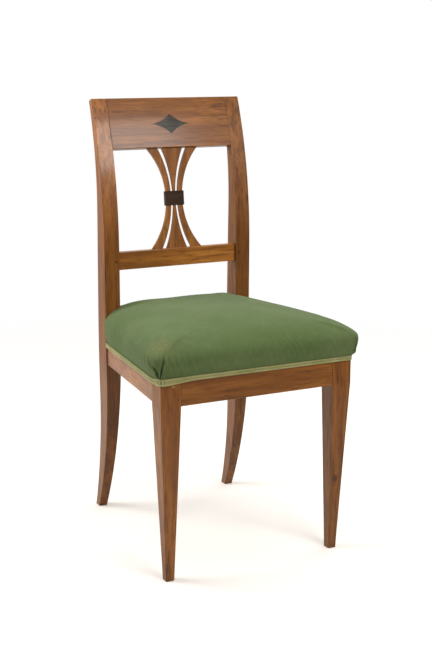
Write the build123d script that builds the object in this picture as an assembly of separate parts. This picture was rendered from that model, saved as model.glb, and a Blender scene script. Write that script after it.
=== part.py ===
from build123d import *
import math
import os

# A side chair with a fixed, stuffed-over seat, in millimetres. It faces -Y and +Z is up.
# Left and right are as seen from the front. Depths are measured back from the front faces of the
# front legs, and the finished pieces are shifted so that the origin lies under the chair's middle.

# Overall
chair_height = 882.0
front_width = 403.0  # over the outer faces of the front legs
rear_width = 335.0  # over the outer faces of the rear legs
seat_depth = 358.0  # from the front legs' front faces to the rear legs' front faces

# Seat frame
seat_height = 400.0  # rail tops at the front faces of the front legs
seat_fall = 12.0  # drop of the rail tops from there to the rear legs
rail_thickness = 22.0
front_rail_height = 55.0
side_rail_height = 50.0
rear_rail_height = 50.0
rail_setback = 0.6  # front and side rails behind the faces of the front legs
side_rail_inset = 2.5  # side rails inside the rear legs' outer faces
rear_rail_setback = 2.0  # rear rail inside the rear legs' back faces
rail_edge = 1.0  # rounding of the lower edges

# Front legs
front_leg_size = 41.0
front_foot_size = 17.0
front_foot_inset = 15.0  # foot inside the leg's outer faces
leg_edge = 1.2  # rounding of the long edges of all legs

# Rear legs, each sawn in one piece with its back stile
stile_width = 33.0
stile_depth = 44.0  # at the seat
waist_depth = 38.0  # where the back edge starts to bend
top_thickness = 14.0
top_sweep = 61.0  # top of the front edge behind the seat's rear
foot_sweep = 69.0  # foot's front behind the seat's rear
rear_foot_depth = 20.0
rear_foot_width = 18.0
rear_foot_inset = 4.0  # foot inside the leg's outer face
back_bend_height = 575.0  # front edge starts to curve back
waist_height = 655.0  # back edge starts to curve back
stile_taper_rise = 15.0  # above the rail tops, where the back edge starts to lean forward
foot_bend_height = 310.0
heel_bend_height = 270.0

# Back
lower_rail_rise = 134.5  # bottom above the rail tops
lower_rail_height = 37.0
lower_rail_thickness = 14.0
lower_rail_setback = 6.0
crest_height = 100.5  # from the crest rail's lower front edge to the top
star_drop = 53.0  # star's centre below the top
star_half_width = 47.0
star_half_height = 21.0
star_hollow = 4.9  # how far the star's edges curve in
star_depth = 2.0
star_tip_room = 3.0  # clearance past the star's points, as a multiple of that along its edges

# Splat: half widths at the waist, under the collar, and at both ends
slat_thickness = 6.0
slat_outer_waist = 17.8
slat_outer_end = 57.0
slat_inner_waist = 7.6
slat_inner_end = 33.1
centre_slat_waist = 2.1
centre_slat_end = 23.5
collar_height = 30.0
collar_wall = 2.4
collar_proud = 1.5  # collar in front of and behind the slats

# Joints
tenon_length = 20.0
tenon_thickness = 9.0
tenon_shoulder = 9.0
back_tenon_length = 18.0
back_tenon_thickness = 7.0
splat_tenon_length = 8.0
splat_tenon_thickness = 4.0
splat_tenon_shoulder = 6.0
joint_clearance = 0.1
tenon_end_gap = 0.5
peg_radius = 2.2
peg_length = 32.0
peg_inset = 7.5  # from the inner face of the stile

# Corner blocks and their screws
block_arm = 42.0
block_height = 34.0
block_drop = 5.0  # below the rail tops
block_clearance = 0.3
screw_radius = 2.0
screw_head_radius = 4.0
screw_head_height = 2.5
screw_grip = 9.0  # wood under the head
screw_bite = 12.0  # length in the rail
screw_slot = 1.0
screw_place = 0.5  # along the arm

# Webbing and hessian
strap_width = 50.0
strap_thickness = 1.6
strap_gap = 0.2  # between crossing straps
strap_inset = 6.0  # strap ends inside the outer faces of the rails
strap_ramp = 14.0  # length in which a strap climbs over another
long_strap_pitch = 84.0
cross_strap_pitch = 92.0
cross_strap_middle = 196.0  # depth of the middle cross strap
hessian_thickness = 0.8
hessian_inset = 4.0
tack_shank_radius = 0.9
tack_head_radius = 2.5
tack_head_height = 0.7
tack_length = 9.0
tack_clearance = 0.1
tacks_per_end = 3
tack_pitch = 15.0

# Stuffing, cover and braid
cushion_crown = 90.0  # above the rail tops
cushion_bulge = 11.5  # front and sides beyond the seat frame
rear_bulge = 4.0  # back beyond the rear rail
crown_corner = 24.0  # rounding of the seat's front corners at the shoulder
cover_thickness = 2.0
cover_clearance = 0.3
cover_drop = 12.0  # cover's lower edge below the rail tops
skirt_thickness = 1.1  # cover where it lies on the rails
gimp_height = 10.0
gimp_thickness = 2.4
cover_tack_pitch = 46.0
cover_tack_drop = 5.0

# Values worked out from the sizes above
front_half = front_width / 2
rear_half = rear_width / 2
leg_inner = front_half - front_leg_size
stile_inner = rear_half - stile_width
back_face = seat_depth + stile_depth
foot_back = seat_depth + foot_sweep + rear_foot_depth
front_rail_inner = rail_setback + rail_thickness
rear_rail_back = back_face - rear_rail_setback
rear_rail_front = rear_rail_back - rail_thickness
lower_rail_bottom = seat_height + lower_rail_rise
lower_rail_top = lower_rail_bottom + lower_rail_height
crest_bottom = chair_height - crest_height
star_height = chair_height - star_drop
lower_rail_front = seat_depth + lower_rail_setback
front_rail_bottom = seat_height - front_rail_height
reach = 2 * (chair_height + front_width + foot_back)

seat_plane = Plane(origin=(0, 0, seat_height), x_dir=(1, 0, 0), z_dir=(0, seat_fall, seat_depth))
above_seat = seat_plane * Pos(0, 0, reach / 2) * Box(reach, reach, reach)


def block(x, y, z):
    """Box over the ranges x, y and z."""
    middle = [(low + high) / 2 for low, high in (x, y, z)]
    size = [high - low for low, high in (x, y, z)]
    return Pos(*middle) * Box(*size)


def grown(x, y, z):
    """The mortise for a tenon over these ranges."""
    ranges = [(low - joint_clearance, high + joint_clearance) for low, high in (x, y, z)]
    return block(*ranges)


def both_sides(x):
    """A range on the right and its mirror on the left."""
    return [x, (-x[1], -x[0])]


def seat_level(depth):
    """Height of the rail tops at a depth."""
    return seat_height - seat_fall * depth / seat_depth


def slab(height, drop=0.0):
    """Layer of a height whose top lies a drop below the rail tops."""
    return seat_plane * Pos(0, 0, -drop - height / 2) * Box(reach, reach, height)


def rod(start, direction, length, radius):
    """Round rod from a point along a direction."""
    return extrude(Plane(origin=start, z_dir=direction) * Circle(radius), amount=length)


def mirrored(shape):
    return mirror(shape, about=Plane.YZ)


def circle_through(start, tangent, end):
    """Centre and radius of the circle that leaves start along tangent and passes through end."""
    length = math.hypot(*tangent)
    normal = (tangent[1] / length, -tangent[0] / length)
    chord = (end[0] - start[0], end[1] - start[1])
    radius = math.hypot(*chord) ** 2 / (2 * (chord[0] * normal[0] + chord[1] * normal[1]))
    return (start[0] + normal[0] * radius, start[1] + normal[1] * radius), radius


def arc_depth(circle, height):
    """Depth of a back-leaning arc at a height."""
    centre, radius = circle
    return centre[0] - math.sqrt(radius**2 - (height - centre[1]) ** 2)


def leaning_plane(low, high):
    """Plane through two points of the side view, with its normal to the front."""
    length = math.dist(low, high)
    lean = ((high[0] - low[0]) / length, (high[1] - low[1]) / length)
    return Plane(origin=(0, low[0], low[1]), x_dir=(1, 0, 0), z_dir=(0, -lean[1], lean[0]))


# Side view of the rear leg
top_lean = 2 * math.atan2(top_sweep, chair_height - back_bend_height)
waist_front = (seat_depth, back_bend_height)
waist_back = (seat_depth + waist_depth, waist_height)
seat_back = (back_face, seat_height + stile_taper_rise)
top_front = (seat_depth + top_sweep, chair_height)
top_back = (top_front[0] + top_thickness * math.cos(top_lean),
            top_front[1] - top_thickness * math.sin(top_lean))
back_tangent = (waist_back[0] - seat_back[0], waist_back[1] - seat_back[1])
front_circle = circle_through(waist_front, (0, 1), top_front)
back_circle = circle_through(waist_back, back_tangent, top_back)


def rear_leg_profile():
    knee_front = (seat_depth, foot_bend_height)
    heel_back = (back_face, heel_bend_height)
    foot_front = (seat_depth + foot_sweep, 0)
    heel = (foot_back, 0)
    return make_face([
        TangentArc(knee_front, foot_front, tangent=(0, -1)),
        Line(foot_front, heel),
        TangentArc(heel_back, heel, tangent=(0, -1)),
        Line(heel_back, seat_back),
        Line(seat_back, waist_back),
        TangentArc(waist_back, top_back, tangent=back_tangent),
        Line(top_back, top_front),
        TangentArc(waist_front, top_front, tangent=(0, 1)),
        Line(waist_front, knee_front),
    ])


def runs_along_leg(edge):
    """Long edges of the rear leg and the edges round its top."""
    box = edge.bounding_box()
    return box.size.Z > leg_edge or box.min.Z > chair_height - top_thickness


def rear_leg_blank():
    taper_top = seat_level(seat_depth) - side_rail_height
    front_view = make_face(Polyline(
        (rear_half, taper_top),
        (rear_half, reach),
        (stile_inner, reach),
        (stile_inner, taper_top),
        (rear_half - rear_foot_inset - rear_foot_width, 0),
        (rear_half - rear_foot_inset, 0),
        close=True,
    ))
    side = extrude(Plane.YZ * rear_leg_profile(), amount=rear_half)
    leg = side & extrude(Plane.XZ * front_view, amount=-reach)
    return fillet(leg.edges().filter_by(runs_along_leg), leg_edge)


def front_leg_blank():
    middle = front_half - front_leg_size / 2
    foot_middle = front_foot_inset + front_foot_size / 2
    foot = Pos(front_half - foot_middle, foot_middle, 0) * Rectangle(front_foot_size, front_foot_size)
    knee = Pos(middle, front_leg_size / 2, front_rail_bottom) * Rectangle(front_leg_size, front_leg_size)
    taper = loft([foot, knee], ruled=True)
    head = block((leg_inner, front_half), (0, front_leg_size), (front_rail_bottom, 2 * seat_height))
    leg = taper + (head - above_seat)
    upright = leg.edges().filter_by(lambda edge: edge.bounding_box().size.Z > front_leg_size)
    return fillet(upright, leg_edge)


# Seat rails
def tenon_ranges(half, depth, height, length, thickness=tenon_thickness):
    middle = (depth[0] + depth[1]) / 2
    across = (middle - thickness / 2, middle + thickness / 2)
    upright = (height[0] + tenon_shoulder, height[1] - tenon_shoulder)
    return [(x, across, upright) for x in both_sides((half, half + length))]


def mortises(ranges):
    """Mortises for tenons along X, a little deeper than the tenons."""
    cuts = []
    for x, y, z in ranges:
        deeper = (x[0] - tenon_end_gap, x[1] + tenon_end_gap)
        cuts.append(grown(deeper, y, z))
    return cuts


front_rail_depth = (rail_setback, front_rail_inner)
front_rail_range = (front_rail_bottom, seat_level(front_rail_inner))
front_tenons = tenon_ranges(leg_inner, front_rail_depth, front_rail_range, tenon_length)
rear_rail_depth = (rear_rail_front, rear_rail_back)
rear_rail_level = seat_level(rear_rail_back)
rear_rail_bottom = rear_rail_level - rear_rail_height
rear_rail_range = (rear_rail_bottom, rear_rail_level)
rear_tenons = tenon_ranges(stile_inner, rear_rail_depth, rear_rail_range, tenon_length)
lower_rail_depth = (lower_rail_front, lower_rail_front + lower_rail_thickness)
lower_rail_range = (lower_rail_bottom, lower_rail_top)
lower_tenons = tenon_ranges(stile_inner, lower_rail_depth, lower_rail_range, back_tenon_length,
                            back_tenon_thickness)

side_rail_front_x = front_half - rail_setback
side_rail_rear_x = rear_half - side_rail_inset
side_rail_slope = (side_rail_rear_x - side_rail_front_x) / (seat_depth - front_leg_size)
side_rail_span = rail_thickness * math.hypot(1, side_rail_slope)


def side_rail_outer(depth):
    """Half width over the side rails at a depth."""
    return side_rail_front_x + side_rail_slope * (depth - front_leg_size)


def side_rail_inner(depth):
    return side_rail_outer(depth) - side_rail_span


def side_tenon(depth, ahead):
    """Ranges of a side rail's tenon at one end, ahead of or behind the shoulder."""
    middle = side_rail_outer(depth) - side_rail_span / 2
    across = (middle - tenon_thickness / 2, middle + tenon_thickness / 2)
    level = seat_level(depth)
    upright = (level - side_rail_height + tenon_shoulder, level - tenon_shoulder)
    along = (depth, depth + ahead) if ahead > 0 else (depth + ahead, depth)
    return across, along, upright


side_tenons = [side_tenon(front_leg_size, -tenon_length), side_tenon(seat_depth, tenon_length)]


def side_mortise(ranges):
    across, along, upright = ranges
    return grown(across, (along[0] - tenon_end_gap, along[1] + tenon_end_gap), upright)


def lower_edges(shape):
    """Long edges along the underside of a rail."""
    bottom = shape.faces().sort_by(Axis.Z)[0]
    edges = bottom.edges().sort_by(lambda edge: edge.length)
    return edges[-2:]


def side_rail():
    plan = make_face(Polyline(
        (side_rail_outer(front_leg_size), front_leg_size),
        (side_rail_outer(seat_depth), seat_depth),
        (side_rail_inner(seat_depth), seat_depth),
        (side_rail_inner(front_leg_size), front_leg_size),
        close=True,
    ))
    rail = extrude(plan, amount=2 * seat_height) & slab(side_rail_height)
    rail = fillet(lower_edges(rail), rail_edge)
    for ranges in side_tenons:
        rail += block(*ranges)
    return rail


def seat_cross_rail(half, depth, bottom, tenons):
    """Seat rail along X whose top follows the seat's fall."""
    rail = block((-half, half), depth, (bottom, 2 * seat_height)) - above_seat
    rail = fillet(lower_edges(rail), rail_edge)
    for ranges in tenons:
        rail += block(*ranges)
    return rail


def back_rail(half, depth, height, tenons):
    """Rail along X with all four long edges rounded."""
    rail = block((-half, half), depth, height)
    rail = fillet(rail.edges().filter_by(Axis.X), rail_edge)
    for ranges in tenons:
        rail += block(*ranges)
    return rail


# Crest rail: the stiles' own side view above a line square to its front face
crest_front = (arc_depth(front_circle, crest_bottom), crest_bottom)
crest_lean = math.asin((crest_bottom - back_bend_height) / front_circle[1])
crest_down = (math.cos(crest_lean), -math.sin(crest_lean))


def crest_thickness():
    """Thickness of the crest along its lower face."""
    low, high = 0.0, stile_depth
    while high - low > 1e-6:
        middle = (low + high) / 2
        depth = crest_front[0] + middle * crest_down[0]
        height = crest_front[1] + middle * crest_down[1]
        inside = depth < arc_depth(back_circle, height)
        low, high = (middle, high) if inside else (low, middle)
    return low


crest_middle = (crest_front[0] + crest_thickness() / 2 * crest_down[0],
                crest_front[1] + crest_thickness() / 2 * crest_down[1])
top_middle = ((top_front[0] + top_back[0]) / 2, (top_front[1] + top_back[1]) / 2)
crest_plane = leaning_plane(crest_middle, top_middle)
crest_rise = math.dist(crest_middle, top_middle)
crest_floor = Plane(origin=(0, crest_front[0], crest_front[1]), x_dir=(1, 0, 0),
                    z_dir=(0, math.sin(crest_lean), math.cos(crest_lean)))
below_crest = crest_floor * Pos(0, 0, -reach / 2) * Box(reach, reach, reach)


def crest_tenon(side, room=0.0, end_room=0.0):
    length = back_tenon_length + end_room
    height = crest_rise - 2 * tenon_shoulder + 2 * room
    thickness = back_tenon_thickness + 2 * room
    middle = side * (stile_inner + length / 2)
    return crest_plane * Pos(middle, crest_rise / 2, 0) * Box(length, height, thickness)


def star_outline(room=0.0):
    wide = star_half_width + star_tip_room * room
    high = star_half_height + star_tip_room * room
    corners = [(wide, 0), (0, high), (-wide, 0), (0, -high)]
    pull = star_hollow / math.hypot(star_half_width, star_half_height)
    edges = []
    for start, end in zip(corners, corners[1:] + corners[:1]):
        middle = ((start[0] + end[0]) / 2, (start[1] + end[1]) / 2)
        inward = (middle[0] - math.copysign(high * pull, middle[0]),
                  middle[1] - math.copysign(wide * pull, middle[1]))
        edges.append(ThreePointArc(start, inward, end))
    return make_face(edges)


star_front = (arc_depth(front_circle, star_height), star_height)
star_lean = math.asin((star_height - back_bend_height) / front_circle[1])
star_plane = Plane(origin=(0, star_front[0], star_front[1]), x_dir=(1, 0, 0),
                   z_dir=(0, -math.cos(star_lean), math.sin(star_lean)))


def star_prism(room=0.0):
    prism = extrude(star_outline(room), amount=2 * star_depth)
    return star_plane * Pos(0, 0, -star_depth - room) * prism


def crest_blank():
    body = extrude(Plane.YZ * rear_leg_profile(), amount=stile_inner, both=True) - below_crest
    lengthwise = body.edges().filter_by(Axis.X)
    return fillet(lengthwise, leg_edge)


# Splat between the lower back rail and the crest, on one flat leaning plane
splat_low = ((lower_rail_depth[0] + lower_rail_depth[1]) / 2, lower_rail_top)
splat_plane = leaning_plane(splat_low, crest_middle)
splat_length = math.dist(splat_low, crest_middle)
splat_spare = slat_thickness
below_splat = block((-reach, reach), (-reach, reach), (-reach, lower_rail_top))
above_splat = crest_floor * Pos(0, 0, reach / 2) * Box(reach, reach, reach)


def flare(waist, end, along):
    """Half width of the splat at a distance along it: an arc from end to end."""
    rise = splat_length / 2
    radius = (rise**2 + (end - waist) ** 2) / (2 * (end - waist))
    return waist + radius - math.sqrt(radius**2 - (along - rise) ** 2)


def flare_edges(waist, end, side):
    """Edge of a slat: an arc from end to end with a straight run past each end."""
    arc = ThreePointArc((side * end, 0), (side * waist, splat_length / 2), (side * end, splat_length))
    foot = Line(arc @ 0 - (arc % 0) * splat_spare, arc @ 0)
    head = Line(arc @ 1, arc @ 1 + (arc % 1) * splat_spare)
    return [foot, arc, head]


def slat(right, left, tenons):
    """Flat slat between two curved edges, trimmed to the rails it stands between, with its tenons."""
    bottom = Line(left[0] @ 0, right[0] @ 0)
    top = Line(left[-1] @ 1, right[-1] @ 1)
    face = splat_plane * make_face([*right, *left, bottom, top])
    board = extrude(face, amount=slat_thickness / 2, both=True) - below_splat - above_splat
    for tenon in tenons:
        board += tenon
    return board


def splat_tenons(middle, width, room=0.0):
    """Tenons at both ends of a slat, at a distance from the middle."""
    reach_in = splat_tenon_length + room
    size = (width + 2 * room, 2 * reach_in, splat_tenon_thickness + 2 * room)
    return [splat_plane * Pos(middle, along, 0) * Box(*size) for along in (0, splat_length)]


outer_slat_middle = (slat_outer_end + slat_inner_end) / 2
outer_slat_tenon = slat_outer_end - slat_inner_end - 2 * splat_tenon_shoulder
centre_slat_tenon = 2 * (centre_slat_end - splat_tenon_shoulder)
splat_seats = [
    (-outer_slat_middle, outer_slat_tenon),
    (0, centre_slat_tenon),
    (outer_slat_middle, outer_slat_tenon),
]


def splat_mortises():
    cuts = []
    for middle, width in splat_seats:
        cuts += splat_tenons(middle, width, joint_clearance)
    return cuts


def outer_slat():
    outer = flare_edges(slat_outer_waist, slat_outer_end, 1)
    inner = flare_edges(slat_inner_waist, slat_inner_end, 1)
    return slat(outer, inner, splat_tenons(outer_slat_middle, outer_slat_tenon))


def centre_slat():
    right = flare_edges(centre_slat_waist, centre_slat_end, 1)
    left = flare_edges(centre_slat_waist, centre_slat_end, -1)
    return slat(right, left, splat_tenons(0, centre_slat_tenon))


def collar_half(side):
    """Half of the collar, in front of (1) or behind (-1) the middle of the slats."""
    room = flare(slat_outer_waist, slat_outer_end, (splat_length + collar_height) / 2) + joint_clearance
    depth = slat_thickness / 2 + collar_proud
    shell = Pos(0, 0, side * depth / 2) * Box(2 * (room + collar_wall), collar_height, depth)
    hollow = Pos(0, 0, side * slat_thickness / 4) * Box(2 * room, 2 * collar_height, slat_thickness / 2)
    return splat_plane * Pos(0, splat_length / 2, 0) * (shell - hollow)


# Pegs through the lower back rail's tenons
peg_places = [(side * (stile_inner + peg_inset), seat_depth, lower_rail_bottom + lower_rail_height / 2)
              for side in (-1, 1)]
pegs = [rod(place, (0, 1, 0), peg_length, peg_radius) for place in peg_places]
peg_hole_length = peg_length + 2 * tenon_end_gap
peg_holes = [rod((x, y - tenon_end_gap, z), (0, 1, 0), peg_hole_length, peg_radius + joint_clearance)
             for x, y, z in peg_places]


# Corner blocks, right side, notched round the legs
def front_corner_plan():
    gap = block_clearance
    return [
        (leg_inner - gap, front_rail_inner),
        (leg_inner - gap - block_arm, front_rail_inner),
        (side_rail_inner(front_leg_size + gap + block_arm), front_leg_size + gap + block_arm),
        (side_rail_inner(front_leg_size + gap), front_leg_size + gap),
        (leg_inner - gap, front_leg_size + gap),
    ]


def rear_corner_plan():
    gap = block_clearance
    return [
        (side_rail_inner(seat_depth - gap), seat_depth - gap),
        (side_rail_inner(seat_depth - gap - block_arm), seat_depth - gap - block_arm),
        (stile_inner - gap - block_arm, rear_rail_front),
        (stile_inner - gap, rear_rail_front),
        (stile_inner - gap, seat_depth - gap),
    ]


def corner_block(plan):
    outline = make_face(Polyline(*plan, close=True))
    return extrude(outline, amount=2 * seat_height) & slab(block_height, block_drop)


def screw_axes():
    """Point on each rail's inner face and the direction into the rail, for the right-hand blocks."""
    arm = block_arm * screw_place + block_clearance
    face = Vector(1, -side_rail_slope, 0).normalized()
    near = front_leg_size + arm
    far = seat_depth - arm
    places = [
        (leg_inner - arm, front_rail_inner, Vector(0, -1, 0)),
        (side_rail_inner(near), near, face),
        (side_rail_inner(far), far, face),
        (stile_inner - arm, rear_rail_front, Vector(0, 1, 0)),
    ]
    drop = block_drop + block_height / 2
    return [(Vector(x, y, seat_level(y) - drop), direction) for x, y, direction in places]


def screw(point, direction):
    top = point - direction * (screw_grip + screw_head_height)
    head = rod(top, direction, screw_head_height, screw_head_radius)
    shank = rod(point - direction * screw_grip, direction, screw_grip + screw_bite, screw_radius)
    slot = Plane(origin=top, z_dir=direction) * Box(4 * screw_head_radius, screw_slot, screw_slot)
    return head + shank - slot


def screw_hole(point, direction):
    """Clearance for a screw, open above its head."""
    top = point - direction * screw_grip
    shank = rod(top, direction, screw_grip + screw_bite + tenon_end_gap, screw_radius + joint_clearance)
    well = rod(top, -direction, block_arm, screw_head_radius + joint_clearance)
    return shank + well


screws = [screw(*axis) for axis in screw_axes()]
screws += [mirrored(piece) for piece in screws]
screw_holes = [screw_hole(*axis) for axis in screw_axes()]
screw_holes += [mirrored(piece) for piece in screw_holes]


# Upholstery, laid out on the plane of the rail tops
seat_slope = seat_fall / seat_depth
along_seat = math.hypot(1, seat_slope)  # length on that plane for each unit of depth
frame_rear = rear_rail_back * along_seat + cover_drop * seat_slope
skirt = cover_clearance + skirt_thickness
gimp_inner = skirt + tack_head_height + tack_clearance
gimp_outer = gimp_inner + gimp_thickness
hessian_level = 2 * strap_thickness + strap_gap + cover_clearance
stuffing_level = hessian_level + hessian_thickness + cover_clearance
widest_rise = 0.392  # share of the crown's height where the seat is widest
dome_power = 2.2  # 2 is an ellipse, and more makes a fuller shoulder
dome_reach = 0.68  # share of the half width that the crown's outermost flat edge lies inside
side_steps = 5
dome_steps = 10


def seat_point(x, along, height):
    return seat_plane.from_local_coords(Vector(x, along, height))


def seat_direction(x, along):
    return Vector(x, 0, 0) + seat_plane.y_dir * along


def frame_side(along):
    """Half width of the seat frame at a distance from its front."""
    run = max(along - front_leg_size, 0.0) / (frame_rear - front_leg_size)
    return front_half + run * (side_rail_outer(rear_rail_back) - front_half)


def frame_outline(overhang, corner, rear_overhang):
    """Outline of the seat frame, grown by the overhangs, with rounded front corners."""
    front = -overhang
    turn = front + corner
    knee = max(front_leg_size, turn + leg_edge)
    rear = frame_rear + rear_overhang
    wide = frame_side(turn) + overhang
    right = [(wide, turn), (frame_side(knee) + overhang, knee), (frame_side(rear) + overhang, rear)]
    left = [(-x, along) for x, along in reversed(right)]
    bend = corner * (1 - math.sqrt(0.5))
    return make_face([
        Line((corner - wide, front), (wide - corner, front)),
        ThreePointArc((wide - corner, front), (wide - bend, front + bend), right[0]),
        Line(right[0], right[1]),
        Line(right[1], right[2]),
        Line(right[2], left[0]),
        Line(left[0], left[1]),
        Line(left[1], left[2]),
        ThreePointArc(left[2], (bend - wide, front + bend), (corner - wide, front)),
    ])


def frame_layer(overhang, low, high):
    """Layer that follows the seat frame, grown by an overhang, between two heights."""
    outline = frame_outline(overhang, max(leg_edge + overhang, leg_edge), overhang)
    return seat_plane * Pos(0, 0, low) * extrude(outline, amount=high - low)


def frame_ring(inner, outer, low, high):
    """Upright band round the seat frame between two overhangs and two heights."""
    return frame_layer(outer, low, high) - frame_layer(inner, low, high)


def dome_rise(share):
    """Height of the dome, as a share of its full height, at a share of the way in from its edge."""
    return (1 - (1 - share) ** dome_power) ** (1 / dome_power)


def cushion_levels():
    """Height, overhang, front corner and rear overhang of the seat's sections, from the rail tops up."""
    widest = widest_rise * cushion_crown
    levels = []
    for step in range(side_steps + 1):
        share = math.sin(step / side_steps * math.pi / 2)
        overhang = skirt + share * (cushion_bulge - skirt)
        rear = skirt + share * (rear_bulge - skirt)
        corner = leg_edge + skirt + share * (crown_corner - leg_edge - skirt)
        levels.append((widest * step / side_steps, overhang, corner, rear))
    for step in range(1, dome_steps + 1):
        share = dome_reach * (step / dome_steps) ** 2
        rise = dome_rise(share) / dome_rise(dome_reach)
        inset = share * front_half
        height = widest + rise * (cushion_crown - widest)
        levels.append((height, cushion_bulge - inset, crown_corner, rear_bulge - inset))
    return levels


def cushion_form(shrink, floor):
    """Crowned seat with drawn-in sides, smaller all round by shrink, above a floor."""
    sections = []
    for height, overhang, corner, rear in cushion_levels():
        level = floor + height * (cushion_crown - shrink - floor) / cushion_crown
        sections.append(Pos(0, 0, level) * frame_outline(overhang - shrink, corner, rear - shrink))
    return seat_plane * loft(sections, ruled=True)


def stile_room(gap):
    """Space round the rear legs that the upholstery leaves free."""
    x = (stile_inner - gap, reach)
    return [block(side, (seat_depth - gap, reach), (0, chair_height)) for side in both_sides(x)]


def strap_profile(start, end, crossings, first_up):
    """Side view of an interlaced strap, lifted at every other crossing."""
    lift = strap_thickness + strap_gap
    half = strap_width / 2 + strap_gap
    line = [(start, 0.0)]
    for index, middle in enumerate(crossings):
        if (index % 2 == 0) == first_up:
            line += [(middle - half - strap_ramp, 0.0), (middle - half, lift)]
            line += [(middle + half, lift), (middle + half + strap_ramp, 0.0)]
    line.append((end, 0.0))
    upper = [(along, height + strap_thickness) for along, height in reversed(line)]
    return make_face(Polyline(*line, *upper, close=True))


long_places = [-long_strap_pitch, 0.0, long_strap_pitch]
cross_places = [cross_strap_middle + step * cross_strap_pitch for step in (-1, 0, 1)]
long_start = rail_setback + strap_inset
long_end = rear_rail_back - strap_inset


def long_strap(index):
    profile = strap_profile(long_start, long_end, cross_places, index % 2 == 0)
    plane = Plane(origin=seat_point(long_places[index], 0, 0), x_dir=seat_plane.y_dir, z_dir=(1, 0, 0))
    return extrude(plane * profile, amount=strap_width / 2, both=True)


def cross_strap_half(index):
    return frame_side(cross_places[index] + strap_width / 2) - strap_inset


def cross_strap(index):
    half = cross_strap_half(index)
    profile = strap_profile(-half, half, long_places, index % 2 == 1)
    plane = Plane(origin=seat_point(0, cross_places[index], 0), x_dir=(1, 0, 0), z_dir=-seat_plane.y_dir)
    return extrude(plane * profile, amount=strap_width / 2, both=True)


def tack(point, direction):
    """Tack whose head bears on a point, driven along a direction."""
    head = rod(point - direction * tack_head_height, direction, tack_head_height, tack_head_radius)
    return head + rod(point, direction, tack_length, tack_shank_radius)


def tack_hole(point, direction):
    start = point - direction * tack_head_height
    depth = tack_length + tack_head_height + tenon_end_gap
    return rod(start, direction, depth, tack_shank_radius + tack_clearance)


def webbing_tack_axes():
    spread = [(step - (tacks_per_end - 1) / 2) * tack_pitch for step in range(tacks_per_end)]
    edge = rail_thickness / 2 - strap_inset
    places = []
    for place in long_places:
        places += [(place + step, end) for step in spread for end in (long_start + edge, long_end - edge)]
    for index, place in enumerate(cross_places):
        half = cross_strap_half(index) - edge
        places += [(end, place + step) for step in spread for end in (-half, half)]
    return [(seat_point(x, along, strap_thickness), -seat_plane.z_dir) for x, along in places]


def tack_row(half):
    """Evenly spaced places along a straight rail, each side of its middle."""
    count = int((half - tack_head_radius) / cover_tack_pitch)
    return [step * cover_tack_pitch for step in range(-count, count + 1)]


def cover_tack_axes():
    """Points on the outside of the cover's skirt and directions into the rails."""
    axes = []
    for x in tack_row(leg_inner):
        axes.append((seat_point(x, -skirt, -cover_tack_drop), seat_direction(0, 1)))
    middle = (front_leg_size + seat_depth) / 2
    slope = (frame_side(seat_depth) - frame_side(front_leg_size)) / (seat_depth - front_leg_size)
    tilt = math.hypot(1, slope)
    for step in tack_row(seat_depth - middle):
        x = frame_side(middle + step) + skirt
        for side in (-1, 1):
            inward = seat_direction(-side / tilt, slope / tilt)
            axes.append((seat_point(side * x, middle + step, -cover_tack_drop), inward))
    for x in tack_row(stile_inner):
        axes.append((seat_point(x, frame_rear + skirt, -cover_tack_drop), seat_direction(0, -1)))
    return axes


def seat_cover():
    skirt_band = frame_ring(cover_clearance, skirt, -cover_drop, cover_clearance)
    hollow = cushion_form(cover_thickness, 0.0)
    opening = frame_layer(skirt - cover_thickness, 0.0, 2 * cover_clearance)
    return skirt_band + (cushion_form(0.0, cover_clearance) - opening - hollow)


webbing_tacks = [tack(*axis) for axis in webbing_tack_axes()]
cover_tacks = [tack(*axis) for axis in cover_tack_axes()]
webbing_holes = [tack_hole(*axis) for axis in webbing_tack_axes()]
cover_holes = [tack_hole(*axis) for axis in cover_tack_axes()]
rail_holes = webbing_holes + cover_holes + screw_holes

front_leg = front_leg_blank() - mortises(front_tenons) - side_mortise(side_tenons[0])
rear_leg = rear_leg_blank() - mortises(rear_tenons) - mortises(lower_tenons) - peg_holes
rear_leg = rear_leg - side_mortise(side_tenons[1]) - crest_tenon(1, joint_clearance, tenon_end_gap)
front_rail = seat_cross_rail(leg_inner, front_rail_depth, front_rail_bottom, front_tenons)
rear_rail = seat_cross_rail(stile_inner, rear_rail_depth, rear_rail_bottom, rear_tenons)
right_rail = side_rail() - rail_holes
crest_body = crest_blank()
crest = crest_body + crest_tenon(1) + crest_tenon(-1) - star_prism(joint_clearance)
lower_rail = back_rail(stile_inner, lower_rail_depth, lower_rail_range, lower_tenons)
gimp = frame_ring(gimp_inner, gimp_outer, -cover_drop, gimp_height - cover_drop)
gimp_parts = (gimp - stile_room(cover_clearance)).solids().sort_by(Axis.Y)
stuffing = cushion_form(cover_thickness + cover_clearance, 0.0) - slab(reach, -stuffing_level)
hessian = frame_layer(-hessian_inset, hessian_level, hessian_level + hessian_thickness)
front_block = corner_block(front_corner_plan()) - screw_holes
rear_block = corner_block(rear_corner_plan()) - screw_holes

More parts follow.
